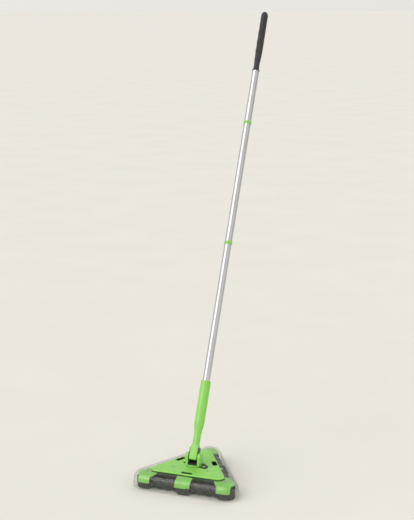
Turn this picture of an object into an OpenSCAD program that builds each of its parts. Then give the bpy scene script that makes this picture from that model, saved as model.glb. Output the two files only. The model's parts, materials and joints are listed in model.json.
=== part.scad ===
// Cordless carpet sweeper with a triangular head.
// Origin: centre of the head on the floor. +Z up, -Y towards the user, +Y towards the back corner.
// Three powered brush rollers lie along the three sides of the head. The handle stands on a
// hinge that swivels on the deck, and it is drawn leaning back on its stop.

/* [Head] */
// Distance from the centre to each long side of the clear hood, at the floor
hood_r = 93.8; // [93.4:0.1:95]
// Distance from the centre to each side of the raised deck
deck_r = 62; // [61:0.1:63]
// Height of the deck's flat top
deck_top = 46; // [46:0.1:47]
// Height of the ledge where the deck meets the hood
ledge_z = 42.3; // [42.2:0.1:42.5]
// Gap between the hood's lower edge and the floor
hood_gap = 4.8; // [4:0.1:6]
// Wall of the moulded parts
wall = 2.5; // [2:0.1:2.7]

/* [Rollers] */
// Distance from the centre to each roller's axis
roller_r = 69; // [68.8:0.1:69.2]
// Height of the roller axes and the drive shafts
roller_z = 16.9; // [16.8:0.1:17]
// Radius over the bristle tips
bristle_r = 16.2; // [15:0.1:16.2]
// Radius of the bare roller
core_r = 12; // [11:0.1:12.5]
// Helical rows of bristles on each half roller
bristle_rows = 3; // [2:1:4]
// Twist of the rows over one half roller
bristle_twist = 360; // [270:10:380]

/* [Handle] */
// Lean of the handle from upright, back on its stop
lean = 28.75; // [26:0.25:30]
// Height of the hinge pin
hinge_z = 68; // [67:0.5:70]
// Outer diameter of the metal pole
pole_d = 19; // [18:0.5:19.5]
// Outer diameter of the green lower tube
tube_d = 26; // [24:0.5:28]
// Top of the green lower tube, measured along the handle from the hinge
tube_top = 196; // [180:1:220]
// Middle of the lower joint ring, along the handle
ring_1_at = 570; // [540:1:600]
// Middle of the upper joint ring, along the handle
ring_2_at = 916; // [880:1:940]
// Bottom of the grip, along the handle
grip_at = 1072; // [1050:1:1090]
// End of the grip, along the handle
handle_end = 1254; // [1245:1:1260]

/* [Hidden] */
$fn = 48;

lime = "#86cf4c";
clear = [0.85, 0.9, 0.88, 0.4];
black = "#202022";
steel = "#b9bcc0";

// Directions of the three corners, seen from above
corner_dirs = [-30, 90, 210];
arc_steps = 12;
gap = 0.3;
hood_wall = 1.5;

// Clear hood, outside, as [distance from the centre, height] from the deck to the lower edge
hood_line = [
    [deck_r - 1.6, ledge_z - gap], [74, ledge_z - gap], [80, 41], [85.4, 38.6], [89.4, 34.6],
    [91.8, 29.4], [93, 22], [hood_r - 0.2, 14], [hood_r, hood_gap]
];
// Corner caps under the hood, outside, in the same form
cap_z = 19;
cap_line = [
    [deck_r + gap, 40], [70, 39.4], [78, 37], [83.6, 33.6], [87, 29.4], [88.6, 25], [89.2, cap_z]
];
// Centre cover: a flat top, a slope and a face
cover_line = [
    [deck_r + gap, 40], [66, 39.8], [76, 36.6], [83.4, 33.6], [87.4, 30], [89, 25], [89.6, cap_z]
];
// Underside of the caps and the cover, from their lower edge back to the deck
cap_under = [
    [86.8, cap_z], [86.4, 24], [85, 28], [82.2, 31.2], [77.2, 34], [70, 36.2], [deck_r + gap, 36.6]
];

// Gears: module 1, teeth kept narrow so that they run with backlash
pinion_teeth = 10;
roller_teeth = 20;
crown_teeth = 30;
rim_teeth = 36;
motor_teeth = 8;
tooth_half = 0.5;
addendum = 0.9;
dedendum = 1.2;
slope = 0.36;
pinion_r = pinion_teeth / 2;
roller_gear_r = roller_teeth / 2;
crown_r = crown_teeth / 2;
rim_r = rim_teeth / 2;
motor_y = rim_r + motor_teeth / 2;
crown_pitch_z = roller_z + pinion_r;
crown_web_z = crown_pitch_z + dedendum;
crown_top = crown_web_z + 3;
shaft_r = 1.5;
run = 0.05;

// Chassis and what it carries
chassis_r = 48;
chassis_z = 9;
chassis_t = 1.4;
chassis_top = 34;
cell_r = 5.25;
cell_l = 44.5;
cell_z = 35.2;
// Cells as [side of the head, distance from the centre, shift along the side]
cells = [[0, 27, 0], [0, 38.3, 0], [1, 33.2, 18.5], [2, 33.2, -18.5]];
holder_z = 28.2;
motor_can_r = 12;
motor_h = 11.6;
motor_z = 27.6;
// Height at which the deck's pillars meet the chassis posts
split_z = 37.8;
deck_screw_at = 53;
cap_screw_at = 119;
cap_head_z = 38;
screw_l = 22;
skid_r = 9;
tray_r = chassis_r - 0.1;
tray_z = 3;
tray_floor = 1.2;
tray_lip = 5.6;

// Rollers
arm_half = 16.5;
core_in = 17.3;
core_out = 91;
bristle_in = 18.5;
bristle_out = 89.8;
row_steps = 24;
axle_r = 2;
axle_end = 99;
block_in = 92.3;
block_z = 9;

// Deck fittings
slot_size = [29, 12.4];
slot_at = 52.8;
jack_at = [-27, 6];
jack_r = 2.75;
jack_body_r = 3.7;
switch_at = [28, -5];
switch_size = [18, 16];

// Swivel and hinge
base_r = 18;
stem_r = 10;
base_z = deck_top + gap;
base_top = deck_top + 4;
fork_half = 12.4;
cheek_t = 6;
pin_r = 3;
foot_half = 12;
plate_half = 10.2;
foot_depth = 10.5;
foot_low = -8;
foot_high = 26;
knuckle_depth = 7.5;
plate_in = 7.6;

// Handle
pole_r = pole_d / 2;
pole_bore = pole_r - 0.9;
pole_foot = 96;
ring_h = 8;
ring_r = pole_r + 1.4;
plug_l = 18;
neck_r = 9.3;
tube_r = tube_d / 2;
grip_half = 9.2;
hang_r = 3.5;
hang_at = handle_end - 13;

function dir(a) = [cos(a), sin(a)];
// Corner radius of the head's outline at distance r: constant on the top, then a true offset
function corner_of(r) = max(15, r - 61.5);

// Outline of a triangle with flat sides at distance r and corners of radius c
function tri_points(r, c) = [for (a = corner_dirs) for (k = [0 : arc_steps])
    2 * (r - c) * dir(a) + c * dir(a - 60 + 120 * k / arc_steps)];

// One ring of points round the head at height z
function ring(r, z) = [for (p = tri_points(r, corner_of(r))) [p.x, p.y, z]];

function unit(v) = v / norm(v);
function seg_normal(a, b) = unit([a.y - b.y, b.x - a.x]);
function normal_at(line, i) = let (n = len(line) - 1)
    unit((i > 0 ? seg_normal(line[i - 1], line[i]) : [0, 0])
       + (i < n ? seg_normal(line[i], line[i + 1]) : [0, 0]));
function moved(line, d) = [for (i = [0 : len(line) - 1]) line[i] + d * normal_at(line, i)];
function reversed(line) = [for (i = [len(line) - 1 : -1 : 0]) line[i]];
function above(line, z) = [for (p = line) if (p.y >= z) p];

// Solid swept round the head from a closed outline of [distance, height]
module swept(outline) {
    rows = [for (p = outline) ring(p.x, p.y)];
    m = len(rows[0]);
    n = len(rows);
    polyhedron(
        points = [for (row = rows) each row],
        faces = [for (i = [0 : n - 1]) for (j = [0 : m - 1])
            let (a = i * m + j, b = i * m + (j + 1) % m,
                 c = ((i + 1) % n) * m + (j + 1) % m, d = ((i + 1) % n) * m + j)
            each [[a, b, c], [a, c, d]]]
    );
}

module plate(r, c, z0, z1) {
    translate([0, 0, z0]) linear_extrude(z1 - z0) polygon(tri_points(r, c));
}

module box(x, y, z) {
    translate([x[0], y[0], z[0]]) cube([x[1] - x[0], y[1] - y[0], z[1] - z[0]]);
}

module rounded(size, r) {
    for (x = [-1, 1]) for (y = [-1, 1])
        translate([x * (size.x / 2 - r), y * (size.y / 2 - r)]) circle(r = r);
    square([size.x - 2 * r, size.y], center = true);
    square([size.x, size.y - 2 * r], center = true);
}

// Side frames: the side's outward direction is -Y, along the side is X
module on_side(i) rotate(120 * i) children();
// Corner frames: the corner's outward direction is -Y
module on_corner(i) rotate(60 + 120 * i) children();

// An outline of [distance, height], pulled along a side from x0 to x1
module pulled(outline, x0, x1) {
    translate([x0, 0, 0]) rotate([90, 0, 90]) linear_extrude(x1 - x0)
        polygon([for (p = outline) [-p.x, p.y]]);
}

// Part of the head beyond the ends of both rollers that meet at a corner
module corner_zone(z0, z1) {
    translate([0, 0, z0]) linear_extrude(z1 - z0) intersection() {
        rotate(60) translate([-200, -200]) square([200 - block_in, 400]);
        rotate(-60) translate([block_in, -200]) square([200 - block_in, 400]);
    }
}

// ---- Gears ----

module gear_tooth() {
    polygon([
        [-tooth_half - slope * dedendum, -dedendum - 0.4], [-tooth_half - slope * dedendum, -dedendum],
        [-tooth_half + slope * addendum, addendum], [tooth_half - slope * addendum, addendum],
        [tooth_half + slope * dedendum, -dedendum], [tooth_half + slope * dedendum, -dedendum - 0.4]
    ]);
}

// Spur gear about Z with its first tooth at angle start
module spur(teeth, h, bore, start = 0) {
    r = teeth / 2;
    linear_extrude(h) difference() {
        union() {
            circle(r = r - dedendum);
            for (k = [0 : teeth - 1]) rotate(start + 360 * k / teeth - 90) translate([0, r]) gear_tooth();
        }
        circle(r = bore);
    }
}

// Face gear about Z, teeth pointing down from the web's underside at z = 0
module face_teeth(teeth, r_in, r_out, start = 0) {
    for (k = [0 : teeth - 1]) rotate(start + 360 * k / teeth)
        translate([r_in, 0, -dedendum]) rotate([90, 0, 90]) linear_extrude(r_out - r_in)
            mirror([0, 1]) gear_tooth();
}

// ---- Head: shells ----

module hood() color(clear) swept(concat(hood_line, reversed(moved(hood_line, -hood_wall))));

module deck() color(lime) difference() {
    union() {
        difference() {
            plate(deck_r, corner_of(deck_r), ledge_z, deck_top);
            plate(deck_r - wall, corner_of(deck_r) - wall, ledge_z - 1, deck_top - wall);
        }
        for (i = [0 : 2]) on_corner(i) translate([0, -deck_screw_at, split_z + 0.2])
            cylinder(r = 5, h = deck_top - split_z - 1.2);
    }
    translate([0, 0, ledge_z]) cylinder(r = stem_r + gap, h = 20);
    translate([jack_at.x, jack_at.y, ledge_z]) cylinder(r = jack_body_r, h = 20);
    translate([switch_at.x, switch_at.y, ledge_z]) linear_extrude(20) rounded(switch_size, 4);
    for (i = [0 : 2]) on_side(i) translate([0, -slot_at, ledge_z]) linear_extrude(20) rounded(slot_size, 3);
    for (i = [0 : 2]) on_corner(i) translate([0, -deck_screw_at, 0]) {
        cylinder(r = 1.7, h = 100);
        translate([0, 0, deck_top - 2]) cylinder(r = 3.5, h = 10);
    }
}

// Bracket over one corner of the head. The lug over a roller end runs from lug[0] to lug[1] along
// the side that lies at the angle turn from the corner.
module corner_cap(turn = 0, lug = [0, 0]) color(lime) difference() {
    intersection() {
        rotate(-60) swept(concat(cap_line, cap_under));
        translate([0, 0, cap_z]) linear_extrude(deck_top) {
            if (turn != 0) rotate(turn) translate([lug[0], -96]) square([lug[1] - lug[0], 56]);
            translate([0, -116]) circle(r = 25.7);
        }
    }
    translate([0, -cap_screw_at, 0]) cylinder(r = 1.7, h = 100);
    translate([0, -cap_screw_at, cap_head_z]) cylinder(r = 3.5, h = 10);
}

module corner_cap_right() on_corner(0) corner_cap(-60, [88, 122.6]);
module corner_cap_back() on_corner(1) corner_cap();
module corner_cap_left() on_corner(2) corner_cap(60, [-119, -88]);

// Cover over the gear arm in the middle of the front side, with a set-back step at one end
module gear_cover() color(lime) {
    pulled(concat(cover_line, cap_under), -21, 10);
    step_line = [for (p = moved(above(cover_line, cap_z + 3), -0.9)) if (p.x > deck_r + gap) p];
    pulled(concat([[deck_r + gap, 39]], step_line, cap_under), 10, 19);
}

// Hollow arm round the middle of a roller, carrying its axle and the end of its drive shaft
module gear_arm() color(black) {
    in_r = chassis_r + gap;
    outline = [
        [in_r, 0.7], [in_r, 33], [77, 33], [81.6, 30.6], [84.2, 27.6], [85.4, 23.6], [86, 14], [86.4, 0.7]
    ];
    difference() {
        intersection() {
            pulled(outline, -arm_half, arm_half);
            translate([0, 0, 20.7]) rotate([90, 0, 0]) linear_extrude(100) rounded([2 * arm_half, 40], 8);
        }
        box([-arm_half + 3, arm_half - 3], [-84, -in_r - 3], [5, 40]);
        translate([-50, -roller_r, roller_z]) rotate([0, 90, 0]) cylinder(r = axle_r + run, h = 100);
        translate([0, -in_r - 5, roller_z]) rotate([-90, 0, 0]) cylinder(r = shaft_r + run, h = 20);
    }
}

module gear_arm_front() on_side(0) gear_arm();
module gear_arm_right() on_side(1) gear_arm();
module gear_arm_left() on_side(2) gear_arm();

// Block in a corner that carries the ends of two rollers, with a post under the corner cap
module corner_block() color(black) difference() {
    union() {
        intersection() {
            rotate(-60) plate(84, corner_of(84), block_z, 27);
            corner_zone(0, 50);
        }
        translate([0, -cap_screw_at, block_z]) cylinder(r = 3.8, h = 36 - block_z);
    }
    for (s = [-1, 1]) rotate(60 * s) translate([-s * (axle_end + 1), -roller_r, roller_z])
        rotate([0, 90 * s, 0]) cylinder(r = axle_r + run, h = 20);
    translate([0, -cap_screw_at, cap_head_z - screw_l]) cylinder(r = 1.5, h = screw_l);
}

module corner_block_right() on_corner(0) corner_block();
module corner_block_back() on_corner(1) corner_block();
module corner_block_left() on_corner(2) corner_block();

// Three feet under the corners and one skid under the middle
module glide_feet() color(black) {
    for (i = [0 : 2]) on_corner(i) translate([0, -cap_screw_at, 0]) {
        cylinder(r1 = 5, r2 = 6, h = 1);
        translate([0, 0, 1]) cylinder(r = 6, h = block_z - 1);
    }
    cylinder(r1 = skid_r - 1, r2 = skid_r, h = 1);
    translate([0, 0, 1]) cylinder(r = skid_r, h = chassis_z - 1);
}

// Fixed strips of bristles round the outside of the corners
module edge_brushes() color(black) for (i = [0 : 2]) on_corner(i) intersection() {
    rotate(-60) difference() {
        plate(83.5, corner_of(83.5), 0.9, block_z);
        plate(80.5, corner_of(80.5), 0, 50);
    }
    corner_zone(0, 50);
}

// Frame that carries the gears, cells and motor
module chassis() color(black) difference() {
    union() {
        difference() {
            plate(chassis_r, 12, chassis_z, chassis_top);
            plate(chassis_r - 2, 10, chassis_z + chassis_t, chassis_top + 1);
        }
        for (i = [0 : 2]) on_corner(i) translate([0, -deck_screw_at, chassis_z])
            cylinder(r = 4, h = split_z - chassis_z);
        for (i = [0 : 2]) on_side(i) box([-4, 4], [-27, -22], [chassis_z, roller_z + 4]);
    }
    for (i = [0 : 2]) on_side(i) translate([0, -60, roller_z]) rotate([-90, 0, 0])
        cylinder(r = shaft_r + run, h = 45);
    for (i = [0 : 2]) on_corner(i) translate([0, -deck_screw_at, 18]) cylinder(r = 1.5, h = 30);
    translate([0, 0, chassis_z - 1]) cylinder(r = axle_r, h = 5);
}

// Shallow pan under the chassis, open above towards the rollers
module dust_tray() color(clear) {
    difference() {
        plate(tray_r, 12, tray_z, chassis_z - gap);
        plate(tray_r - 1.6, 10.4, tray_z + tray_floor, chassis_z + 1);
        translate([0, 0, tray_z - 1]) cylinder(r = skid_r + gap, h = 10);
        for (i = [0 : 2]) on_side(i) box([-55, 55], [-60, -tray_r + 3], [tray_lip, 20]);
    }
    translate([0, 0, tray_z]) difference() {
        cylinder(r = skid_r + 2, h = chassis_z - gap - tray_z);
        translate([0, 0, -1]) cylinder(r = skid_r + gap, h = 10);
    }
}

module screws() color(steel) for (i = [0 : 2]) on_corner(i) {
    for (s = [[deck_screw_at, deck_top - 2], [cap_screw_at, cap_head_z]]) translate([0, -s[0], s[1]]) {
        difference() {
            cylinder(r = 3.1, h = 1.5);
            for (a = [0, 90]) rotate(a) box([-1.8, 1.8], [-0.4, 0.4], [0.7, 2]);
        }
        translate([0, 0, -screw_l]) cylinder(r = 1.5, h = screw_l);
    }
}

// ---- Head: power and drive ----

module battery_cells() color("#2b3038") for (c = cells) on_side(c[0]) translate([c[2], -c[1], cell_z])
    rotate([0, 90, 0]) {
        translate([0, 0, -cell_l / 2]) cylinder(r = cell_r, h = cell_l - 1);
        translate([0, 0, cell_l / 2 - 1]) cylinder(r = 1.9, h = 1);
    }

module battery_holder() color(black) {
    difference() {
        plate(chassis_r - 2.3, 9.7, holder_z - 0.1, holder_z + 1.2);
        translate([0, motor_y, 0]) cylinder(r = motor_can_r + 0.8, h = 60);
        for (i = [0 : 2]) on_corner(i) translate([0, -deck_screw_at, 0]) cylinder(r = 4.3, h = 60);
        translate([switch_at.x, switch_at.y, 0]) linear_extrude(60) rounded([20, 12], 3);
        translate([0, 0, 0]) cylinder(r = 2.3, h = 60);
    }
    for (c = cells) on_side(c[0]) for (s = [-1, 1])
        translate([c[2] + s * (cell_l / 2 + 0.9), -c[1], cell_z - 2.5]) cube([1.4, 7, 9], center = true);
}

module circuit_board() color("#1f6b3a") {
    translate([0, 64.5, 30.4]) {
        cube([20, 12, 1.6], center = true);
        translate([-5, 0, 2.3]) cube([6, 6, 3], center = true);
        translate([5, 1, 0.8]) cylinder(r = 2.5, h = 6);
    }
}

module charging_socket() color(black) translate([jack_at.x, jack_at.y, 0]) difference() {
    translate([0, 0, deck_top - 10.2]) cylinder(r = jack_body_r, h = 10.2);
    translate([0, 0, deck_top - 8]) cylinder(r = jack_r, h = 10);
}

module motor() color(steel) translate([0, motor_y, motor_z]) difference() {
    union() {
        cylinder(r = motor_can_r, h = motor_h);
        translate([0, 0, -0.8]) cylinder(r = 3, h = 1);
    }
    translate([0, 0, -2]) cylinder(r = 1 + run, h = motor_h);
}

module motor_pinion() color("ivory") translate([0, motor_y, crown_web_z]) {
    spur(motor_teeth, 3, 0.9, 22.5);
    translate([0, 0, -1]) cylinder(r = 1, h = 12);
}

module crown_gear() color("ivory") translate([0, 0, crown_web_z]) {
    spur(rim_teeth, 3, axle_r + run);
    face_teeth(crown_teeth, crown_r - 2.2, crown_r + 1.6);
}

module crown_axle() color(steel) translate([0, 0, chassis_z]) cylinder(r = axle_r, h = 19);

module drive_shaft() color(steel)
    translate([0, -12, roller_z]) rotate([90, 0, 0]) cylinder(r = shaft_r, h = roller_r - axle_r - 13.4);

module shaft_pinions() color("ivory")
    for (at = [crown_r, roller_r - roller_gear_r]) translate([0, -at + 1.9, roller_z])
        rotate([90, 0, 0]) spur(pinion_teeth, 3.8, shaft_r, 90);

module drive_shaft_front() on_side(0) drive_shaft();
module drive_shaft_right() on_side(1) drive_shaft();
module drive_shaft_left() on_side(2) drive_shaft();
module shaft_pinions_front() on_side(0) shaft_pinions();
module shaft_pinions_right() on_side(1) shaft_pinions();
module shaft_pinions_left() on_side(2) shaft_pinions();

// ---- Rollers ----

// Roller frame: the roller's axis is Z, and its origin is the middle of the roller
module on_roller(i) on_side(i) translate([0, -roller_r, roller_z]) rotate([0, 90, 0]) children();

module roller_axle() color(steel) translate([0, 0, -axle_end]) cylinder(r = axle_r, h = 2 * axle_end);

module roller_core() color(black) for (s = [0, 1]) mirror([0, 0, s]) translate([0, 0, core_in]) difference() {
    cylinder(r = core_r, h = core_out - core_in);
    translate([0, 0, -1]) cylinder(r = axle_r, h = 100);
    translate([0, 0, -1]) difference() {
        cylinder(r = core_r - 2, h = core_out - core_in - 2);
        cylinder(r = axle_r + 2, h = 100);
    }
}

module roller_gear() color("ivory") {
    translate([0, 0, pinion_r + dedendum]) {
        face_teeth(roller_teeth, roller_gear_r - 2.2, roller_gear_r + 1.6, 90);
        difference() {
            cylinder(r = roller_gear_r + 1.6, h = 3);
            translate([0, 0, -1]) cylinder(r = axle_r, h = 10);
        }
    }
}

// One helical row of bristles: a strip that stands on the roller and winds round it
module bristle_row() {
    section = [[core_r - 0.2, -1], [bristle_r - 0.05, -1], [bristle_r - 0.05, 1], [core_r - 0.2, 1]];
    rings = [for (k = [0 : row_steps]) let (a = bristle_twist * k / row_steps)
        [for (p = section) [p.x * cos(a) - p.y * sin(a), p.x * sin(a) + p.y * cos(a),
            bristle_in + (bristle_out - bristle_in) * k / row_steps]]];
    polyhedron(
        points = [for (r = rings) each r],
        faces = concat([[0, 1, 2, 3]], [[for (j = [3 : -1 : 0]) 4 * row_steps + j]],
            [for (k = [0 : row_steps - 1]) for (j = [0 : 3])
                let (a = 4 * k + j, b = 4 * k + (j + 1) % 4)
                each [[a, a + 4, b + 4], [a, b + 4, b]]])
    );
}

module bristles() color("#2c2826") for (s = [0, 1]) mirror([0, 0, s])
    for (k = [0 : bristle_rows - 1]) rotate(360 * k / bristle_rows) bristle_row();

module roller_axle_front() on_roller(0) roller_axle();
module roller_axle_right() on_roller(1) roller_axle();
module roller_axle_left() on_roller(2) roller_axle();
module roller_core_front() on_roller(0) roller_core();
module roller_core_right() on_roller(1) roller_core();
module roller_core_left() on_roller(2) roller_core();
module roller_gear_front() on_roller(0) roller_gear();
module roller_gear_right() on_roller(1) roller_gear();
module roller_gear_left() on_roller(2) roller_gear();
module bristles_front() on_roller(0) bristles();
module bristles_right() on_roller(1) bristles();
module bristles_left() on_roller(2) bristles();

// ---- Deck fittings ----

module switch_cap() color(black) translate([switch_at.x, switch_at.y, 0]) {
    translate([0, 0, 41]) linear_extrude(deck_top + 0.6 - 41)
        rounded([switch_size.x - 1, switch_size.y - 1], 3.5);
    translate([0, 0, 41]) linear_extrude(deck_top - wall - gap - 41)
        rounded([switch_size.x + 2, switch_size.y + 2], 4);
    translate([0, 0, deck_top + 0.5]) linear_extrude(0.9) rounded([8, 3], 1.4);
    translate([0, 0, 36.5]) cylinder(r = 2, h = 5);
}

module switch_body() color("dimgray") translate([switch_at.x, switch_at.y, 0]) difference() {
    translate([-7, -5, 27]) cube([14, 10, 12]);
    translate([0, 0, 34]) cylinder(r = 2 + run, h = 10);
}

// ---- Swivel and hinge ----

module cheek_outline() {
    circle(r = 11);
    polygon([[-14, base_top - hinge_z - 0.5], [-11, 0], [11, 0], [17, 1.5], [17, base_top - hinge_z - 0.5]]);
}

module swivel_base() color(lime) difference() {
    union() {
        translate([0, 0, base_z]) cylinder(r = base_r, h = base_top - base_z);
        translate([0, 0, 41]) cylinder(r = stem_r, h = base_top - 41);
        for (s = [-1, 1]) translate([s * (fork_half + cheek_t / 2) - cheek_t / 2, 0, hinge_z])
            rotate([90, 0, 90]) linear_extrude(cheek_t) cheek_outline();
        box([-fork_half - 1, fork_half + 1], [13.7, 17], [base_top - 0.5, hinge_z + 1.4]);
    }
    translate([-50, 0, hinge_z]) rotate([0, 90, 0]) cylinder(r = pin_r, h = 100);
    translate([0, 0, 35]) cylinder(r = 6, h = base_top - 35 - 3);
}

module swivel_retainer() color(black) difference() {
    translate([0, 0, 40.2]) cylinder(r = 15, h = deck_top - wall - gap - 40.2);
    translate([0, 0, 41]) cylinder(r = stem_r, h = 10);
    translate([0, 0, 35]) cylinder(r = 6, h = 20);
}

module stop_buffer() color(black)
    box([-fork_half, fork_half], [-13, 13.6], [base_top, base_top + 4]);

module hinge_pin() color(steel) translate([-fork_half - cheek_t, 0, hinge_z]) rotate([0, 90, 0])
    cylinder(r = pin_r, h = 2 * (fork_half + cheek_t));

// ---- Handle ----

// Handle frame: Z runs up the handle from the hinge pin, -Y is the side that faces the user
module on_handle() translate([0, 0, hinge_z]) rotate([-lean, 0, 0]) children();

module knuckle() color(black) on_handle() difference() {
    translate([-foot_half, 0, 0]) rotate([90, 0, 90]) linear_extrude(2 * foot_half) {
        circle(r = knuckle_depth);
        translate([-knuckle_depth, 0]) square([2 * knuckle_depth, foot_high - 3]);
    }
    translate([-50, 0, 0]) rotate([0, 90, 0]) cylinder(r = pin_r + run, h = 100);
}

module lower_tube() color(lime) on_handle() difference() {
    union() {
        difference() {
            box([-plate_half, plate_half], [-foot_depth, foot_depth], [foot_low, foot_high]);
            box([-20, 20], [-plate_in, plate_in], [foot_low - 1, foot_high - 3 + 0.1]);
        }
        cylinder_between(plate_half, neck_r, foot_high - 0.1, foot_high + 4);
        cylinder_between(neck_r, neck_r, foot_high + 3.9, 56);
        cylinder_between(neck_r, tube_r, 56, 88);
        cylinder_between(tube_r, tube_r, 88, tube_top - 3);
        cylinder_between(tube_r, tube_r - 2.2, tube_top - 3, tube_top);
    }
    translate([0, 0, pole_foot - 0.1]) cylinder(r = pole_r + 0.05, h = 300);
}

module cylinder_between(r1, r2, z0, z1) translate([0, 0, z0]) cylinder(r1 = r1, r2 = r2, h = z1 - z0);

module pole(z0, z1) color(steel) on_handle() difference() {
    cylinder_between(pole_r, pole_r, z0, z1);
    cylinder_between(pole_bore, pole_bore, z0 - 1, z1 + 1);
}

module pole_lower() pole(pole_foot, ring_1_at - ring_h / 2);
module pole_middle() pole(ring_1_at + ring_h / 2, ring_2_at - ring_h / 2);
module pole_upper() pole(ring_2_at + ring_h / 2, grip_at);

// Collar between two lengths of pole, with a plug into each
module joint_ring(at) color(lime) on_handle() {
    cylinder_between(ring_r - 0.8, ring_r, at - ring_h / 2, at - ring_h / 2 + 1);
    cylinder_between(ring_r, ring_r, at - ring_h / 2 + 1, at + ring_h / 2 - 1);
    cylinder_between(ring_r, ring_r - 0.8, at + ring_h / 2 - 1, at + ring_h / 2);
    cylinder_between(pole_bore - 0.05, pole_bore - 0.05, at - plug_l, at + plug_l);
}

module joint_ring_lower() joint_ring(ring_1_at);
module joint_ring_upper() joint_ring(ring_2_at);

// Side outline of the grip in its own frame: x towards the back, y up the handle
module grip_side() {
    top = handle_end - grip_at;
    difference() {
        union() {
            translate([-11.5, 20]) square([24, top - 32]);
            translate([-9.5, 10]) square([19, 20]);
            translate([0.5, top - 12]) circle(r = 12);
        }
        for (k = [0 : 3]) translate([-21, 47 + 27 * k]) circle(r = 14);
        translate([26, 22]) circle(r = 17);
        translate([-26, 20]) circle(r = 17);
    }
}

module grip() color(black) on_handle() {
    difference() {
        translate([0, 0, grip_at]) intersection() {
            translate([-grip_half, 0, 0]) rotate([90, 0, 90]) linear_extrude(2 * grip_half) grip_side();
            rotate([90, 0, 0]) translate([0, 0, -30]) linear_extrude(60) union() {
                translate([-grip_half, 40]) square([2 * grip_half, handle_end - grip_at - grip_half - 40]);
                translate([0, handle_end - grip_at - grip_half]) circle(r = grip_half);
                translate([-7.4, 0]) square([14.8, 60]);
            }
        }
        translate([-50, 0, hang_at]) rotate([0, 90, 0]) cylinder(r = hang_r, h = 100);
    }
    cylinder_between(pole_bore - 0.05, pole_bore - 0.05, grip_at - 24, grip_at);
    cylinder_between(pole_r + 0.3, pole_r, grip_at, grip_at + 2.5);
    cylinder_between(pole_r, 7, grip_at + 2.5, grip_at + 14);
}

hood();
deck();
corner_cap_right();
corner_cap_back();
corner_cap_left();
gear_cover();
gear_arm_front();
gear_arm_right();
gear_arm_left();
corner_block_right();
corner_block_back();
corner_block_left();
glide_feet();
edge_brushes();
chassis();
dust_tray();
screws();
battery_cells();
battery_holder();
circuit_board();
charging_socket();
motor();
motor_pinion();
crown_gear();
crown_axle();
drive_shaft_front();
drive_shaft_right();
drive_shaft_left();
shaft_pinions_front();
shaft_pinions_right();
shaft_pinions_left();
roller_axle_front();
roller_axle_right();
roller_axle_left();
roller_core_front();
roller_core_right();
roller_core_left();
roller_gear_front();
roller_gear_right();
roller_gear_left();
bristles_front();
bristles_right();
bristles_left();
switch_cap();
switch_body();
swivel_base();
swivel_retainer();
stop_buffer();
hinge_pin();
knuckle();
lower_tube();
pole_lower();
pole_middle();
pole_upper();
joint_ring_lower();
joint_ring_upper();
grip();
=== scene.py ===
"""Looks for a cordless carpet sweeper with a triangular head.

Smooth shells, brushes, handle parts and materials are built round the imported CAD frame.
Lengths are in metres, and outlines are in millimetres where they are named with _MM.
Side frames: a side of the head faces -Y and runs along X. Handle frame: Z runs up the handle.
"""
import json
import math
import random

import bmesh
import bpy
from mathutils import Matrix, Vector


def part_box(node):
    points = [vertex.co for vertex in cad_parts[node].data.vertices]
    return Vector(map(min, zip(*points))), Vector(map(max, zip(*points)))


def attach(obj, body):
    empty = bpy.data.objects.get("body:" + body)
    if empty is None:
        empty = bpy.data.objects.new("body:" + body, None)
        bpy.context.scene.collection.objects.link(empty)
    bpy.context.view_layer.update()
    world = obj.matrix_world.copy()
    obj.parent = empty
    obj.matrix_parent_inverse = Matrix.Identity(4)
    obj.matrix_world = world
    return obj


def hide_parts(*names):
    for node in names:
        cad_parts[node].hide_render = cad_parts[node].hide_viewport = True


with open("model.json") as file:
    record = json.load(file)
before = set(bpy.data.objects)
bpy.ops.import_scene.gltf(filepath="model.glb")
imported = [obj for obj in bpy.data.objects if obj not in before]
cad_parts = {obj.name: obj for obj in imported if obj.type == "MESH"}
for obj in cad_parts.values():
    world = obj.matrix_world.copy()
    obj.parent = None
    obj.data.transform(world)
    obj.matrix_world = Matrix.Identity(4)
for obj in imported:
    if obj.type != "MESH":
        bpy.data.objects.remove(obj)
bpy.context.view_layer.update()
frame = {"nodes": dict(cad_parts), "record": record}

MM = 0.001
SIDES = ("front", "right", "left")
CORNERS = ("right", "back", "left")

# ---- Sizes, read from the frame where it has them ----


def low(node):
    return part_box(node)[0]


def high(node):
    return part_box(node)[1]


DECK_R = -low("deck").y
DECK_TOP = high("deck").z
LEDGE_Z = 42.3 * MM
PILLAR_Z = low("deck").z
WALL = 2.5 * MM
HOOD_WALL = 1.5 * MM
GAP = 0.3 * MM

ROLLER_R = -(low("roller_axle_front").y + high("roller_axle_front").y) / 2
ROLLER_Z = (low("roller_axle_front").z + high("roller_axle_front").z) / 2
CORE_R = (high("roller_core_front").z - low("roller_core_front").z) / 2
BRISTLE_R = 16.4 * MM

HINGE_Z = (low("hinge_pin").z + high("hinge_pin").z) / 2
HINGE_HALF = high("hinge_pin").x
BASE_R = 18 * MM
BASE_LOW = DECK_TOP + GAP
LEAN = math.radians(28.75)
HANDLE = Matrix.Translation((0, 0, HINGE_Z)) @ Matrix.Rotation(-LEAN, 4, "X")
POLE_R = 9.5 * MM
SLOT = (29 * MM, 12.4 * MM)
SLOT_AT = 52.8 * MM
SLOT_CORNER = 3 * MM
DECK_SCREW_AT = 53 * MM
SWITCH_HOLE = (18 * MM, 16 * MM)
SWITCH_HOLE_CORNER = 4 * MM
SWITCH_EDGE = 0.8 * MM
SWITCH_AT = ((low("switch_body") + high("switch_body")) / 2).xy
TUBE_R = high("lower_tube").x

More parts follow.
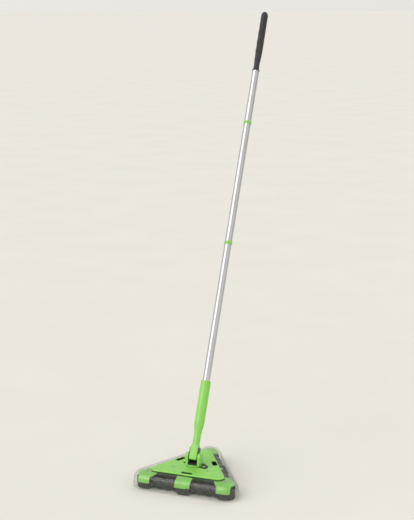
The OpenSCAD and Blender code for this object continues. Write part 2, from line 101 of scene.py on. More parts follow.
# Outlines as (distance from the centre, height), from the deck to the lower edge
HOOD_LINE_MM = ((60.4, 42), (67, 42), (74, 42), (80, 41), (85.4, 38.6), (89.4, 34.6), (91.8, 29.4),
                (93, 22), (93.6, 14), (93.8, 4.8))
CAP_LINE_MM = ((62.3, 40), (70, 39.4), (78, 37), (83.6, 33.6), (87, 29.4), (88.6, 25), (89.2, 19))
COVER_LINE_MM = ((62.3, 40), (66, 39.8), (76, 36.6), (83.4, 33.6), (87.4, 30), (89, 25), (89.6, 19))
UNDER_LINE_MM = ((86.8, 19), (86.4, 24), (85, 28), (82.2, 31.2), (77.2, 34), (70, 36.2), (62.3, 36.6))

# The pad round the foot switch, outside the swivel's disc
PAD_MM = ((20.8, 16.6), (39, 0.5), (39, -13.5), (34, -16), (21.2, -15))

# Stations along the handle from the hinge
POLE_FOOT = 96 * MM
TUBE_TOP = 196 * MM
RINGS_AT = {"joint_ring_lower": 570 * MM, "joint_ring_upper": 916 * MM}
GRIP_AT = 1072 * MM
HANDLE_END = 1254 * MM


# ---- Outlines and meshes ----


def direction(degrees):
    return Vector((math.cos(math.radians(degrees)), math.sin(math.radians(degrees))))


def in_metres(line):
    return [Vector((r * MM, z * MM)) for r, z in line]


def smooth(points, per_span=6):
    """Points on a smooth curve through the given ones."""
    ends = [2 * points[0] - points[1], *points, 2 * points[-1] - points[-2]]
    found = []
    for a, b, c, d in zip(ends, ends[1:], ends[2:], ends[3:]):
        for k in range(per_span):
            t = k / per_span
            found.append(0.5 * (2 * b + (c - a) * t + (2 * a - 5 * b + 4 * c - d) * t**2
                                + (3 * b - a - 3 * c + d) * t**3))
    return [*found, points[-1]]


def offset(line, distance):
    """The line moved sideways, up and outward for a line that runs out and down."""
    moved = []
    for i, p in enumerate(line):
        along = line[min(i + 1, len(line) - 1)] - line[max(i - 1, 0)]
        normal = Vector((-along.y, along.x)).normalized()
        moved.append(p + normal * distance)
    return moved


def arc(centre, radius, start, end, steps):
    """Points on an arc in a plane, from start to end in degrees."""
    return [centre + radius * direction(start + (end - start) * k / steps) for k in range(steps + 1)]


def round_rect(width, height, radius, steps=8):
    """A rectangle with round corners about the origin, anticlockwise."""
    x, y = width / 2 - radius, height / 2 - radius
    corners = ((x, y, 0), (-x, y, 90), (-x, -y, 180), (x, -y, 270))
    return [p for cx, cy, a in corners for p in arc(Vector((cx, cy)), radius, a, a + 90, steps)]


def corner_radius(r):
    """Corner radius of the head's outline at distance r: constant on the top, then a true offset."""
    return max(15 * MM, r - 61.5 * MM)


def ring(r, z, steps=24):
    """A closed line round the head at distance r from its centre."""
    c = corner_radius(r)
    flat = [p for a in (-30, 90, 210) for p in arc(2 * (r - c) * direction(a), c, a - 60, a + 60, steps)]
    return [Vector((p.x, p.y, z)) for p in flat]


def flat_loop(outline, z):
    return [Vector((p.x, p.y, z)) for p in outline]


def side_loop(outline, x):
    """An outline of (distance, height) standing across a side at x."""
    return [Vector((x, -p.x, p.y)) for p in outline]


def loft(loops, closed=False):
    """A mesh through matching loops. Its ends are capped, or joined to each other if it is closed."""
    mesh = bpy.data.meshes.new("loft")
    made = bmesh.new()
    rows = [[made.verts.new(p) for p in loop] for loop in loops]
    pairs = list(zip(rows, rows[1:])) + ([(rows[-1], rows[0])] if closed else [])
    for a, b in pairs:
        for j in range(len(a)):
            k = (j + 1) % len(a)
            made.faces.new((a[j], a[k], b[k], b[j]))
    if not closed:
        made.faces.new(rows[0][::-1])
        made.faces.new(rows[-1])
    bmesh.ops.recalc_face_normals(made, faces=made.faces)
    made.to_mesh(mesh)
    made.free()
    return mesh


def lathe(profile, closed=False, steps=96):
    """A solid turned about Z from points of (radius, height)."""
    return loft([flat_loop([r * direction(360 * k / steps) for k in range(steps)], z) for r, z in profile],
                closed)


def block(x, y, z):
    """A box between pairs of coordinates."""
    corners = [(x[0], y[0]), (x[1], y[0]), (x[1], y[1]), (x[0], y[1])]
    return loft([[Vector((cx, cy, h)) for cx, cy in corners] for h in z])


def moved(mesh, matrix):
    mesh.transform(matrix)
    return mesh


def turned(mesh, degrees):
    return moved(mesh, Matrix.Rotation(math.radians(degrees), 4, "Z"))


def joined(meshes):
    """One mesh from several."""
    made = bmesh.new()
    for mesh in meshes:
        made.from_mesh(mesh)
    result = bpy.data.meshes.new("joined")
    made.to_mesh(result)
    made.free()
    return result


def as_object(mesh):
    made = bpy.data.objects.new(mesh.name, mesh)
    bpy.context.scene.collection.objects.link(made)
    return made


def applied(obj):
    """The mesh of obj with its modifiers applied. The object itself is removed."""
    graph = bpy.context.evaluated_depsgraph_get()
    mesh = bpy.data.meshes.new_from_object(obj.evaluated_get(graph))
    bpy.data.objects.remove(obj)
    return mesh


def carved(mesh, tool, operation="DIFFERENCE"):
    """The mesh less the tool, or what both share."""
    base, other = as_object(mesh), as_object(tool)
    modifier = base.modifiers.new("carve", "BOOLEAN")
    modifier.operation = operation
    modifier.solver = "EXACT"
    modifier.object = other
    result = applied(base)
    bpy.data.objects.remove(other)
    return result


def fused(meshes, voxel=0.45 * MM, passes=8):
    """Overlapping solids as one moulding with its edges rounded over."""
    base = as_object(joined(meshes))
    remesh = base.modifiers.new("fuse", "REMESH")
    remesh.mode = "VOXEL"
    remesh.voxel_size = voxel
    soften = base.modifiers.new("soften", "SMOOTH")
    soften.factor = 0.5
    soften.iterations = passes
    return applied(base)


def piece(name, mesh, look, body, replaces=(), matrix=None, sharp=35):
    """A finished object that rides on a body and takes the material that look names."""
    mesh.shade_smooth()
    mesh.set_sharp_from_angle(angle=math.radians(sharp))
    mesh.materials.clear()
    mesh.materials.append(LOOKS[look])
    made = as_object(mesh)
    made.name = name
    mesh.name = name
    if matrix is not None:
        made.matrix_world = matrix
    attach(made, body)
    if replaces:
        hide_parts(*replaces)
    return made


# ---- Materials ----


class Look:
    """A material with its shader and a few node helpers. Patterns use object coordinates."""

    def __init__(self, name):
        self.material = bpy.data.materials.new(name)
        self.material.use_nodes = True
        self.tree = self.material.node_tree
        self.shader = self.tree.nodes["Principled BSDF"]
        self.output = self.tree.nodes["Material Output"]
        self.place = self.tree.nodes.new("ShaderNodeTexCoord").outputs["Object"]

    def link(self, source, target):
        self.tree.links.new(source, target)

    def set(self, **values):
        for name, value in values.items():
            self.shader.inputs[name.replace("_", " ")].default_value = value
        return self

    def stretched(self, scale):
        mapping = self.tree.nodes.new("ShaderNodeMapping")
        mapping.inputs["Scale"].default_value = scale
        self.link(self.place, mapping.inputs["Vector"])
        return mapping.outputs["Vector"]

    def noise(self, scale, detail=2.0, place=None):
        made = self.tree.nodes.new("ShaderNodeTexNoise")
        made.inputs["Scale"].default_value = scale
        made.inputs["Detail"].default_value = detail
        self.link(place or self.place, made.inputs["Vector"])
        return made.outputs["Fac"]

    def ramp(self, factor, stops):
        """A colour or grey from the factor, through stops of (position, colour)."""
        made = self.tree.nodes.new("ShaderNodeValToRGB")
        while len(made.color_ramp.elements) < len(stops):
            made.color_ramp.elements.new(0.5)
        for element, (position, colour) in zip(made.color_ramp.elements, stops):
            element.position = position
            element.color = (*colour, 1) if len(colour) == 3 else (*colour * 3, 1)
        self.link(factor, made.inputs["Fac"])
        return made.outputs["Color"]

    def colour(self, factor, stops):
        self.link(self.ramp(factor, stops), self.shader.inputs["Base Color"])
        return self

    def roughness(self, factor, least, most):
        grey = self.ramp(factor, ((0.3, (least,)), (0.7, (most,))))
        self.link(grey, self.shader.inputs["Roughness"])
        return self

    def bump(self, height, strength, distance):
        made = self.tree.nodes.new("ShaderNodeBump")
        made.inputs["Strength"].default_value = strength
        made.inputs["Distance"].default_value = distance
        self.link(height, made.inputs["Height"])
        self.link(made.outputs["Normal"], self.shader.inputs["Normal"])
        return self


def shades(colour, spread, edge=0.35):
    """Three close tones of a colour, dark to light, for a ramp over noise."""
    dark = tuple(c * (1 - spread) for c in colour)
    light = tuple(min(1, c * (1 + spread)) for c in colour)
    return ((edge, dark), (0.5, colour), (1 - edge, light))


def moulded(name, colour, spread, rough, grain, grain_size=0.4 * MM):
    """Moulded plastic: close tones, uneven gloss and a fine grain."""
    look = Look(name)
    look.colour(look.noise(35, 3), shades(colour, spread))
    look.roughness(look.noise(90, 4), rough - 0.05, rough + 0.06)
    look.bump(look.noise(1 / grain_size, 2), grain, 0.05 * MM)
    return look


def lime_plastic():
    look = moulded("lime_plastic", (0.245, 0.625, 0.10), 0.04, 0.32, 0.1)
    look.set(Coat_Weight=0.25, Coat_Roughness=0.12, Subsurface_Weight=0.04, Subsurface_Scale=1.5 * MM)
    return look.material


def black_plastic():
    return moulded("black_plastic", (0.022, 0.022, 0.024), 0.15, 0.34, 0.2).material


def soft_rubber():
    look = moulded("soft_rubber", (0.024, 0.024, 0.025), 0.15, 0.55, 0.5, 0.6 * MM)
    return look.material


def clear_plastic():
    """Thin clear plastic: light goes straight through, or is mirrored at grazing angles, with a little haze."""
    look = Look("clear_plastic")
    tree = look.tree
    look.colour(look.noise(30, 3), shades((0.42, 0.44, 0.40), 0.06))
    look.roughness(look.noise(120, 4), 0.08, 0.16)
    look.bump(look.noise(60, 2), 0.04, 0.2 * MM)
    through = tree.nodes.new("ShaderNodeBsdfTransparent")
    through.inputs["Color"].default_value = (0.96, 0.97, 0.955, 1)
    mirror = tree.nodes.new("ShaderNodeBsdfAnisotropic")
    mirror.inputs["Roughness"].default_value = 0.1
    facing = tree.nodes.new("ShaderNodeLayerWeight")
    # Schlick's curve for the mirrored share. A Fresnel node would mirror everything inside the thin wall,
    # where light that isn't bent meets the second surface beyond the angle of total reflection
    schlick_power, least_mirrored = 5, 0.03
    curve = tree.nodes.new("ShaderNodeMath")
    curve.operation = "POWER"
    curve.inputs[1].default_value = schlick_power
    look.link(facing.outputs["Facing"], curve.inputs[0])
    mirrored = tree.nodes.new("ShaderNodeMapRange")
    mirrored.inputs["To Min"].default_value = least_mirrored
    look.link(curve.outputs["Value"], mirrored.inputs["Value"])
    clean = tree.nodes.new("ShaderNodeMixShader")
    look.link(mirrored.outputs["Result"], clean.inputs["Fac"])
    look.link(through.outputs["BSDF"], clean.inputs[1])
    look.link(mirror.outputs["BSDF"], clean.inputs[2])
    haze = look.ramp(facing.outputs["Facing"], ((0.0, (0.006,)), (0.7, (0.02,)), (1.0, (0.35,))))
    mix = tree.nodes.new("ShaderNodeMixShader")
    look.link(haze, mix.inputs["Fac"])
    look.link(clean.outputs["Shader"], mix.inputs[1])
    look.link(look.shader.outputs["BSDF"], mix.inputs[2])
    look.link(mix.outputs["Shader"], look.output.inputs["Surface"])
    return look.material


def bristle():
    look = Look("bristle")
    look.colour(look.noise(220, 2), ((0.3, (0.012, 0.010, 0.009)), (0.55, (0.030, 0.026, 0.024)),
                                     (0.75, (0.075, 0.062, 0.052))))
    look.roughness(look.noise(500, 2), 0.4, 0.6)
    look.bump(look.noise(3000, 2), 0.2, 0.05 * MM)
    look.set(Sheen_Weight=0.1)
    return look.material


def drawn_metal(name, colour, least, most):
    """Metal with fine lines drawn along Z and slow changes of tone."""
    look = Look(name)
    lines = look.noise(1, 4, look.stretched((2500, 2500, 12)))
    look.colour(look.noise(25, 2), shades(colour, 0.03))
    look.roughness(lines, least, most)
    look.bump(lines, 0.08, 0.02 * MM)
    look.set(Metallic=1.0)
    return look.material


def steel():
    return drawn_metal("steel", (0.6, 0.61, 0.63), 0.22, 0.4)


def pole_metal():
    return drawn_metal("pole_metal", (0.54, 0.545, 0.55), 0.30, 0.38)


def gear_plastic():
    return moulded("gear_plastic", (0.78, 0.74, 0.62), 0.04, 0.42, 0.15).material


def cell_sleeve():
    look = moulded("cell_sleeve", (0.02, 0.024, 0.034), 0.2, 0.3, 0.1)
    look.set(Coat_Weight=0.5, Coat_Roughness=0.1)
    return look.material


def board_green():
    return moulded("board_green", (0.02, 0.16, 0.06), 0.2, 0.45, 0.2, 1 * MM).material


LOOKS = {make.__name__: make() for make in (
    lime_plastic, clear_plastic, black_plastic, bristle, pole_metal, steel, gear_plastic,
    soft_rubber, cell_sleeve, board_green)}


def finish_cad_nodes():
    """Every carried-over CAD node takes the material of its slot."""
    for part in frame["record"]["subparts"]:
        node = frame["nodes"][part["node"]]
        for held in node.material_slots:
            held.material = LOOKS[part["material_slot"]]


# ---- Head ----


def hood():
    """Clear shell with a thicker bead along its lower edge."""
    outside = smooth(in_metres(HOOD_LINE_MM), 8)
    foot = outside[-1].y
    bead = 4 * MM
    inside = []
    for p, q in zip(outside, offset(outside, -1)):
        near = max(0, 1 - (p.y - foot) / bead)
        inside.append(p + (q - p) * (HOOD_WALL + 0.7 * MM * near))
    edge = [(outside[-1] + inside[-1]) / 2 + Vector((0, -0.4 * MM))]
    outline = [*outside, *edge, *reversed(inside)]
    mesh = loft([ring(p.x, p.y, 32) for p in outline], closed=True)
    piece("hood_shell", mesh, "clear_plastic", "head", ["hood"])


def flared_cutter(outline_at, z0, flare):
    """A cutter from z0 up through the deck's top, whose top edge is rounded by flare.

    outline_at(d) is the outline grown by d.
    """
    loops = [flat_loop(outline_at(0), z0)]
    for k in range(6):
        angle = math.radians(80 * k / 5)
        loops.append(flat_loop(outline_at(flare * (1 - math.cos(angle))),
                               DECK_TOP - flare + flare * math.sin(angle)))
    loops.append(flat_loop(outline_at(flare), DECK_TOP + 2 * MM))
    return loft(loops)


def rect_cutter(size, radius, at, z0, flare):
    def grown(d):
        return [p + Vector(at) for p in round_rect(size[0] + 2 * d, size[1] + 2 * d, radius + d)]

    return flared_cutter(grown, z0, flare)


def round_cutter(radius, at, z0, flare):
    return rect_cutter((2 * radius, 2 * radius), radius * 0.999, at, z0, flare)


def deck():
    """Raised lime deck: a hollow plate with a rounded rim, slots, switch hole, jack hole and screw wells."""
    rim = 2.6 * MM
    outline = [Vector((DECK_R, LEDGE_Z))]
    outline += arc(Vector((DECK_R - rim, DECK_TOP - rim)), rim, 0, 90, 8)
    inner = [Vector((DECK_R - WALL, LEDGE_Z)), Vector((DECK_R - WALL, DECK_TOP - WALL))]
    mesh = loft([ring(p.x, p.y) for p in [*reversed(inner), *outline]])
    cutters = [turned(rect_cutter(SLOT, SLOT_CORNER, (0, -SLOT_AT), LEDGE_Z, 0.8 * MM), 120 * i)
               for i in range(3)]
    cutters += [turned(round_cutter(3.5 * MM, (0, -DECK_SCREW_AT), DECK_TOP - 2 * MM, 0.4 * MM), 60 + 120 * i)
                for i in range(3)]
    jack = (low("charging_socket") + high("charging_socket")) / 2
    cutters.append(rect_cutter(SWITCH_HOLE, SWITCH_HOLE_CORNER, SWITCH_AT, LEDGE_Z, SWITCH_EDGE))
    cutters.append(round_cutter(3.75 * MM, jack.xy, LEDGE_Z, 0.5 * MM))
    cutters.append(round_cutter(10.3 * MM, (0, 0), LEDGE_Z, 0.3 * MM))
    mesh = carved(mesh, joined(cutters))
    under = DECK_TOP - WALL
    profile = [(r * MM, z) for r, z in (
        (1.7, PILLAR_Z), (4.6, PILLAR_Z), (5, PILLAR_Z + 0.4 * MM), (5, under), (1.7, under))]
    pillar = moved(lathe(profile, closed=True, steps=40), Matrix.Translation((0, -DECK_SCREW_AT, 0)))
    pillars = [turned(pillar.copy(), 60 + 120 * i) for i in range(3)]
    piece("deck_shell", joined([mesh, *pillars]), "lime_plastic", "head", ["deck"])


def slot_shade_sleeves():
    """Dark sleeves that hang under the deck round its slots and leave them open; painted shade: their black
    lining makes the slots look shaded inside.
    """
    top, foot = DECK_TOP - WALL, 32 * MM

    def loop(grow, z):
        return flat_loop(round_rect(SLOT[0] + 2 * grow, SLOT[1] + 2 * grow, SLOT_CORNER + grow), z)

    inside, outside = 0.2 * MM, 1.2 * MM
    section = ((inside, foot), (outside, foot), (outside, top), (inside, top))
    sleeve = loft([loop(grow, z) for grow, z in section], closed=True)
    sleeve = moved(sleeve, Matrix.Translation((0, -SLOT_AT, 0)))
    sleeves = joined([turned(sleeve.copy(), 120 * i) for i in range(3)])
    # Black lining as painted shade inside the deck's slots
    piece("slot_shade_sleeves", sleeves, "black_plastic", "head")


def switch_surround():
    """Thin dark pad on the deck round the foot switch."""
    clearance, corner = 2 * MM, 2.2 * MM
    beside_disc = arc(Vector((0, 0)), BASE_R + clearance, -38, 28, 6)
    points = [*beside_disc, *(Vector((x * MM, y * MM)) for x, y in PAD_MM)]
    outline = []
    for before, p, after in zip([points[-1], *points], points, [*points[1:], points[0]]):
        start, end = (p + (q - p).normalized() * min(corner, (q - p).length * 0.4) for q in (before, after))
        outline += [start, 0.25 * start + 0.5 * p + 0.25 * end, end]
    middle = sum(outline, Vector((0, 0))) / len(outline)
    loops = [flat_loop([p.lerp(middle, inset) for p in outline], DECK_TOP + z * MM)
             for inset, z in ((0, -0.3), (0, 0.25), (0.03, 0.5))]
    cutter = rect_cutter(SWITCH_HOLE, SWITCH_HOLE_CORNER, SWITCH_AT, DECK_TOP - 1 * MM, SWITCH_EDGE)
    piece("switch_surround", carved(loft(loops), cutter), "soft_rubber", "head")


def bracket(line):
    """The closed outline of a lime bracket under the hood, with its outside along the given line."""
    return [*smooth(in_metres(line)), *smooth(in_metres(UNDER_LINE_MM))]


def corner_caps():
    """Lime brackets over the corners, round a screw. The two in front have a lug over the front roller."""
    outline = bracket(CAP_LINE_MM)
    straight = 75 * MM
    steps = 24

    def station(k):
        loop = []
        for p in outline:
            c = corner_radius(p.x)
            if k < 0:
                at = p.x * direction(30) + straight * direction(120)
            elif k > steps:
                at = p.x * direction(150) + straight * direction(60)
            else:
                at = 2 * (p.x - c) * direction(90) + c * direction(30 + 120 * k / steps)
            loop.append(Vector((at.x, at.y, p.y)))
        return loop

    sweep = loft([station(k) for k in range(-1, steps + 2)])
    well_r, screw_at = 3.6 * MM, 119 * MM
    screw_well = moved(lathe(((well_r, 38 * MM), (well_r, 60 * MM))), Matrix.Translation((0, screw_at, 0)))
    sweep = carved(sweep, screw_well)
    depth, height = (-96 * MM, -50 * MM), (18 * MM, 60 * MM)
    middle = moved(lathe([(25.7 * MM, z) for z in height]), Matrix.Translation((0, 116 * MM, 0)))
    lugs = {
        "right": turned(block((88 * MM, 122.6 * MM), depth, height), 120),
        "left": turned(block((-119 * MM, -88 * MM), depth, height), 240),
    }
    for i, corner in enumerate(CORNERS):
        regions = [middle.copy()] + ([lugs[corner]] if corner in lugs else [])
        cap = fused([carved(sweep.copy(), region, "INTERSECT") for region in regions], passes=5)
        piece("cap_" + corner, turned(cap, 120 * (i - 1)), "lime_plastic", "head", ["corner_cap_" + corner],
              sharp=60)


def gear_cover():
    """Lime cover over the drive in the middle of the front side, with a set-back step at one end."""
    main = bracket(COVER_LINE_MM)
    back = [p for p in offset(smooth(in_metres(COVER_LINE_MM)), -0.9 * MM)
            if p.y > 22 * MM and p.x > DECK_R + GAP]
    step = [*back, *smooth(in_metres(UNDER_LINE_MM))]
    cover = fused([
        loft([side_loop(main, x * MM) for x in (-21, 10)]),
        loft([side_loop(step, x * MM) for x in (9, 19)]),
    ], passes=5)
    piece("cover_front", cover, "lime_plastic", "head", ["gear_cover"], sharp=60)


def switch_button():
    """Foot switch: a dished black button with three lime ribs."""
    centre = (low("switch_cap") + high("switch_cap")) / 2
    top = high("switch_cap").z
    size = (17 * MM, 15 * MM)
    loops = [flat_loop(round_rect(*size, 3.5 * MM), DECK_TOP - 5 * MM)]
    dish = ((0, -1.6), (-0.25, -1.0), (-0.9, -0.65), (-2.4, -0.75), (-3.4, -1.0), (-4.6, -1.15))
    for grow, z in dish:
        inset = 2 * grow * MM
        loops.append(flat_loop(round_rect(size[0] + inset, size[1] + inset, max(0.4, 3.5 + grow) * MM),
                               top + z * MM))
    at = Matrix.Translation((centre.x, centre.y, 0))
    piece("switch_button", loft(loops), "black_plastic", "foot_switch", ["switch_cap"], at)
    ribs = []
    for x in (-3, 0, 3):
        rib = arc(Vector((0, top - 1.2 * MM)), 1.1 * MM, 0, 180, 10)
        ribs.append(loft([[Vector((x * MM + p.x * 0.7, y, p.y)) for p in rib] for y in (-3 * MM, 5 * MM)]))
    piece("switch_ribs", joined(ribs), "lime_plastic", "foot_switch", matrix=at)


def filaments(roots, radius=0.17 * MM):
    """Tapered bristles from (root, tip) pairs, three-sided, in one mesh."""
    mesh = bpy.data.meshes.new("filaments")
    points, faces = [], []
    for root, tip in roots:
        along = (tip - root).normalized()
        side = along.orthogonal().normalized()
        up = along.cross(side)
        middle = root.lerp(tip, 0.6)
        start = len(points)
        for centre, r in ((root, radius), (middle, radius * 0.85), (tip, radius * 0.45)):
            for k in range(3):
                a = 2 * math.pi * k / 3
                points.append(centre + r * (math.cos(a) * side + math.sin(a) * up))
        for row in (0, 3):
            for k in range(3):
                n = (k + 1) % 3
                faces.append((start + row + k, start + row + n, start + row + 3 + n, start + row + 3 + k))
        faces.append((start + 2, start + 1, start))
        faces.append((start + 6, start + 7, start + 8))
    mesh.from_pydata(points, [], faces)
    return mesh


def roller_tufts():
    """Bristles in tufts that wind round each half of each roller."""
    rows, twist = 3, 360
    first, last = 20.4 * MM, 88 * MM
    tufts, bristles_each = 20, 24
    dice = random.Random(7)
    for i, side in enumerate(SIDES):
        pairs = []
        for half in (-1, 1):
            for row in range(rows):
                for t in range(tufts):
                    share = t / (tufts - 1)
                    along = half * (first + (last - first) * share)
                    angle = math.radians(half * (360 / rows * row + twist * share) + dice.uniform(-2, 2))
                    lean = dice.uniform(-0.03, 0.03)
                    for _ in range(bristles_each):
                        spot = 1.2 * MM * math.sqrt(dice.random())
                        way = dice.uniform(0, 2 * math.pi)
                        dx, da = spot * math.cos(way), spot * math.sin(way) / CORE_R
                        flare = dice.uniform(1.4, 2.6)
                        reach = BRISTLE_R - dice.uniform(0, 0.5) * MM
                        ends = []
                        for r, spread in ((CORE_R - 0.3 * MM, 1), (reach, flare)):
                            a = angle + da * spread * CORE_R / r + (lean if r == reach else 0)
                            ends.append(Vector((along + dx * spread, r * math.cos(a), r * math.sin(a))))
                        pairs.append(tuple(ends))
        mesh = moved(filaments(pairs), Matrix.Translation((0, -ROLLER_R, ROLLER_Z)))
        piece("tufts_" + side, turned(mesh, 120 * i), "bristle", "roller_" + side, ["bristles_" + side],
              sharp=80)


def edge_strips():
    """Stiff strips of bristle round the outside of the corners, set in a carrier."""
    inner, outer, ends = 80.5 * MM, 83.5 * MM, 92.3 * MM
    top, foot = high("edge_brushes").z, low("edge_brushes").z
    middle = (inner + outer) / 2
    dice = random.Random(11)
    carrier = [Vector((r, z)) for r, z in ((inner, top - 2.5 * MM), (outer, top - 2.5 * MM), (outer, top),
                                           (inner, top))]

    def on_path(distance, across):
        """A point of the corner strip, by distance along it from its middle and across it."""
        c = corner_radius(middle)
        bend = c * math.radians(60)
        if abs(distance) < bend:
            centre = 2 * (middle - c) * direction(90)
            return centre + (c + across) * direction(90 + math.degrees(distance / c))
        s = ends + straight - (abs(distance) - bend)
        side = 1 if distance > 0 else -1
        return (middle + across) * direction(90 + 60 * side) + s * direction(90 - 30 * side)

    straight = (middle - corner_radius(middle)) * math.tan(math.radians(60)) - ends
    half = corner_radius(middle) * math.radians(60) + straight
    steps = 40
    band = loft([[Vector((*on_path(half * (2 * k / steps - 1), p.x - middle), p.y)) for p in carrier]
                 for k in range(steps + 1)])
    pairs = []
    count = int(2 * half / (0.55 * MM))
    for k in range(count + 1):
        for across in (-0.9, -0.3, 0.3, 0.9):
            at = on_path(half * (2 * k / count - 1) * 0.995, (across + dice.uniform(-0.2, 0.2)) * MM)
            tip = at + Vector((dice.gauss(0, 0.45), dice.gauss(0, 0.45))) * MM
            pairs.append((Vector((*at, top - 2 * MM)), Vector((*tip, foot + dice.uniform(0, 0.6) * MM))))
    strip = joined([band, filaments(pairs, 0.15 * MM)])
    whole = joined([turned(strip.copy(), 120 * i) for i in range(3)])
    piece("edge_strips", whole, "bristle", "head", ["edge_brushes"], sharp=60)


def swivel_fork():
    """Turntable with the two cheeks of the hinge and the web behind them."""
    base_top = BASE_LOW + 3.7 * MM
    rim = 1.4 * MM
    edge = [(BASE_R - 0.4 * MM, BASE_LOW), (BASE_R, BASE_LOW + 0.4 * MM)]
    edge += [(p.x, p.y) for p in arc(Vector((BASE_R - rim, base_top - rim)), rim, 0, 90, 6)]
    disc = lathe(edge)
    cheek_r = 11 * MM
    cheek = [Vector((14 * MM, base_top - 1 * MM))]
    cheek += arc(Vector((0, HINGE_Z)), cheek_r, 0, 180, 24)
    cheek += [Vector((-17 * MM, HINGE_Z + 1.5 * MM)), Vector((-17 * MM, base_top - 1 * MM))]
    inner, outer = 12.4 * MM, HINGE_HALF + 0.25 * MM
    parts = [disc]
    for x in ((-outer, -inner), (inner, outer)):
        parts.append(loft([side_loop(cheek, value) for value in x]))
    parts.append(block((-inner - 1 * MM, inner + 1 * MM), (13.7 * MM, 17 * MM),
                       (base_top - 1 * MM, HINGE_Z + 1.4 * MM)))
    piece("swivel_fork", fused(parts, 0.4 * MM, 6), "lime_plastic", "swivel", ["swivel_base"], sharp=60)


# ---- Handle ----


def blended(a, b, t):
    """From a to b with an eased start and end."""
    t = min(1, max(0, t))
    return a + (b - a) * t * t * (3 - 2 * t)


def lower_tube():
    """Green lower tube: a square foot that straddles the knuckle, a slim neck and a round sleeve."""
    foot_x, foot_y, neck = 10.2 * MM, 10.5 * MM, 9.3 * MM
    foot_low, foot_high, round_by = -8 * MM, 25 * MM, 34 * MM
    flare_from, flare_to, shoulder = 54 * MM, 90 * MM, 3 * MM
    loops = []
    heights = [foot_low + h * MM for h in (0, 0.3, 0.8, 1.6)]
    heights += [foot_high + (round_by - foot_high) * k / 12 for k in range(13)]
    heights += [flare_from + (flare_to - flare_from) * k / 12 for k in range(13)]
    for h in heights:
        t = (h - foot_high) / (round_by - foot_high)
        wider = blended(0, TUBE_R - neck, (h - flare_from) / (flare_to - flare_from))
        wide = blended(foot_x, neck, t) + wider
        deep = blended(foot_y, neck, t) + wider
        inset = 1.6 * MM - math.sqrt(max(0, 1.6**2 - max(0, 1.6 - (h - foot_low) / MM) ** 2)) * MM
        round_r = blended(2.5 * MM, neck, t) + (wide - neck if t > 1 else 0)
        wide, deep = wide - inset, deep - inset
        loops.append(flat_loop(round_rect(2 * wide, 2 * deep, min(round_r, wide, deep) * 0.999, 12), h))
    for p in arc(Vector((TUBE_R - shoulder, TUBE_TOP - shoulder)), shoulder, 0, 60, 8):
        loops.append(flat_loop(round_rect(2 * p.x, 2 * p.x, p.x * 0.999, 12), p.y))
    bore = POLE_R + 0.1 * MM
    for h in (loops[-1][0].z, TUBE_TOP - 12 * MM):
        loops.append(flat_loop(round_rect(2 * bore, 2 * bore, bore * 0.999, 12), h))
    channel = block((-20 * MM, 20 * MM), (-7.6 * MM, 7.6 * MM), (-12 * MM, 23.1 * MM))
    mesh = carved(loft(loops), channel)
    piece("tube_sleeve", mesh, "lime_plastic", "handle", ["lower_tube"], HANDLE)


def pole_sections():
    """Three lengths of metal pole with rolled ends."""
    half_ring = 4 * MM
    rings = sorted(RINGS_AT.values())
    spans = {
        "pole_lower": (POLE_FOOT, rings[0] - half_ring),
        "pole_middle": (rings[0] + half_ring, rings[1] - half_ring),
        "pole_upper": (rings[1] + half_ring, GRIP_AT),
    }
    bore, roll = POLE_R - 0.9 * MM, 0.35 * MM
    for node, (start, end) in spans.items():
        profile = [(bore, start), (POLE_R - roll, start), (POLE_R, start + roll), (POLE_R, end - roll),
                   (POLE_R - roll, end), (bore, end)]
        piece(node + "_section", lathe(profile, closed=True), "pole_metal", "handle", [node], HANDLE)


def joint_rings():
    """Lime collars between the lengths of pole, with a crowned middle and a groove at each side."""
    for node, at in RINGS_AT.items():
        crown = [Vector((r * MM, h * MM)) for r, h in (
            (9.6, -4), (10.4, -3.9), (10.75, -3.4), (10.75, -2.6), (10.45, -2.3), (10.75, -2.0), (10.9, -1),
            (10.95, 0), (10.9, 1), (10.75, 2.0), (10.45, 2.3), (10.75, 2.6), (10.75, 3.4), (10.4, 3.9),
            (9.6, 4))]
        profile = [(p.x, at + p.y) for p in crown] + [(8.4 * MM, at + 4 * MM), (8.4 * MM, at - 4 * MM)]
        piece(node + "_collar", lathe(profile, closed=True), "lime_plastic", "handle", [node], HANDLE,
              sharp=50)


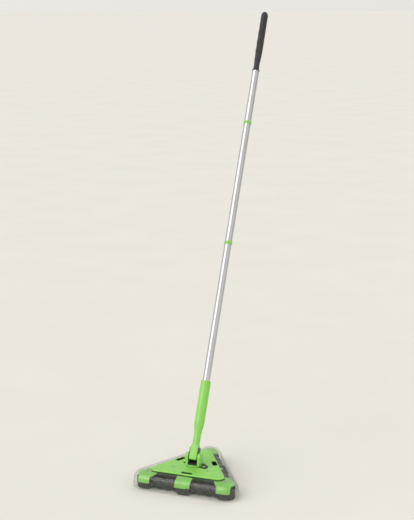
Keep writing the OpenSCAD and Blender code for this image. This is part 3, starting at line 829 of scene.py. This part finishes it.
def grip():
    """Slim black grip: a collar on the pole, a narrow throat, finger hollows and a hanging hole."""
    length = HANDLE_END - GRIP_AT
    steps, around = 150, 64
    tip = 9.2 * MM
    hollow_first, hollow_pitch = 47 * MM, 27 * MM
    loops = []
    for k in range(steps + 1):
        h = length * k / steps
        half = blended(7.2 * MM, 9.2 * MM, (h - 12 * MM) / (55 * MM))
        near = blended(8.6 * MM, 11.4 * MM, (h - 12 * MM) / (22 * MM))
        far = blended(8.6 * MM, 12.2 * MM, (h - 16 * MM) / (40 * MM))
        if hollow_first - hollow_pitch / 2 < h < hollow_first + 3.5 * hollow_pitch:
            near -= 1.9 * MM * (1 + math.cos(2 * math.pi * (h - hollow_first) / hollow_pitch))
        left = length - h
        close = math.sqrt(max(0.0, 1 - max(0, 1 - left / (1.4 * tip)) ** 2))
        half, near, far = (max(0.3 * MM, v * close) for v in (half, near, far))
        slim = blended(1, 0.86, (h - 110 * MM) / (60 * MM))
        loop = []
        for j in range(around):
            c, s = direction(360 * j / around)
            x = half * math.copysign(abs(c) ** 0.84, c)
            y = (far * slim if s > 0 else near * slim) * math.copysign(abs(s) ** 0.84, s)
            loop.append(Vector((x, y, GRIP_AT + h)))
        loops.append(loop)
    body = loft(loops)
    hole_r, hole_at = 3.5 * MM, HANDLE_END - 13 * MM
    hole = [(hole_r + flare * MM, x * MM) for flare, x in (
        (1.6, -14), (1.6, -8.6), (0.7, -7.4), (0.15, -6.4), (0, -5),
        (0, 5), (0.15, 6.4), (0.7, 7.4), (1.6, 8.6), (1.6, 14))]
    across = Matrix.Translation((0, 0, hole_at)) @ Matrix.Rotation(math.pi / 2, 4, "Y")
    body = carved(body, moved(lathe(hole, steps=48), across))
    collar = lathe([(r * MM, GRIP_AT + h * MM) for r, h in (
        (9.0, -0.3), (10.3, -0.3), (10.5, 0.3), (10.3, 2), (9, 3), (8.2, 7), (7.6, 12))])
    piece("grip_handle", joined([body, collar]), "soft_rubber", "handle", ["grip"], HANDLE, sharp=50)


# ---- Stage ----


def stage_floor():
    look = Look("floor")
    look.colour(look.noise(3, 3), shades((0.776, 0.765, 0.72), 0.015))
    look.roughness(look.noise(40, 3), 0.75, 0.9)
    half, thick = 400, 0.02
    mesh = block((-half, half), (-half, half), (-thick, 0))
    mesh.materials.append(look.material)
    floor = as_object(mesh)
    floor.name = "floor"


def soft_sun(name, direction_to, strength, spread, tint):
    """An even light over the whole floor, wide enough to throw soft shadows."""
    lamp = bpy.data.lights.new(name, "SUN")
    lamp.energy = strength
    lamp.angle = math.radians(spread)
    lamp.color = tint
    made = bpy.data.objects.new(name, lamp)
    made.rotation_euler = Vector(direction_to).to_track_quat("Z", "Y").to_euler()
    bpy.context.scene.collection.objects.link(made)


def studio():
    scene = bpy.context.scene
    scene.view_settings.view_transform = "Standard"
    world = bpy.data.worlds.new("studio")
    scene.world = world
    world.use_nodes = True
    tree = world.node_tree
    background = tree.nodes["Background"]
    place = tree.nodes.new("ShaderNodeTexCoord")
    split = tree.nodes.new("ShaderNodeSeparateXYZ")
    tree.links.new(place.outputs["Generated"], split.inputs["Vector"])
    total = tree.nodes.new("ShaderNodeMath")
    # Brighter from the left than from the right, with a band of the floor's tone along the horizon
    gradients = (("X", -0.9, 0.9, 0.70, 0.54), ("Z", 0, 0.16, 0.17, 0))
    for i, (axis, start, end, first, last) in enumerate(gradients):
        span = tree.nodes.new("ShaderNodeMapRange")
        for name, value in (("From Min", start), ("From Max", end), ("To Min", first), ("To Max", last)):
            span.inputs[name].default_value = value
        tree.links.new(split.outputs[axis], span.inputs["Value"])
        tree.links.new(span.outputs["Result"], total.inputs[i])
    tree.links.new(total.outputs["Value"], background.inputs["Strength"])
    background.inputs["Color"].default_value = (1.0, 0.975, 0.93, 1)
    soft_sun("key", (-0.5, -0.62, 0.75), 1.5, 60, (1.0, 0.97, 0.93))
    soft_sun("fill", (0.85, -0.45, 0.3), 0.5, 70, (1.0, 0.99, 0.97))
    soft_sun("back", (0.3, 0.8, 0.7), 0.35, 40, (1.0, 1.0, 1.0))


def camera():
    lens = bpy.data.cameras.new("camera")
    lens.lens = 76.15
    lens.sensor_width = 36
    made = bpy.data.objects.new("camera", lens)
    made.location = (0.8858, -2.4569, 1.1802)
    made.rotation_euler = (math.radians(90 - 12.93), 0, math.radians(19.1))
    bpy.context.scene.collection.objects.link(made)
    bpy.context.scene.camera = made


camera()
studio()
stage_floor()
finish_cad_nodes()
hood()
deck()
slot_shade_sleeves()
switch_surround()
corner_caps()
gear_cover()
switch_button()
roller_tufts()
edge_strips()
swivel_fork()
lower_tube()
pole_sections()
joint_rings()
grip()
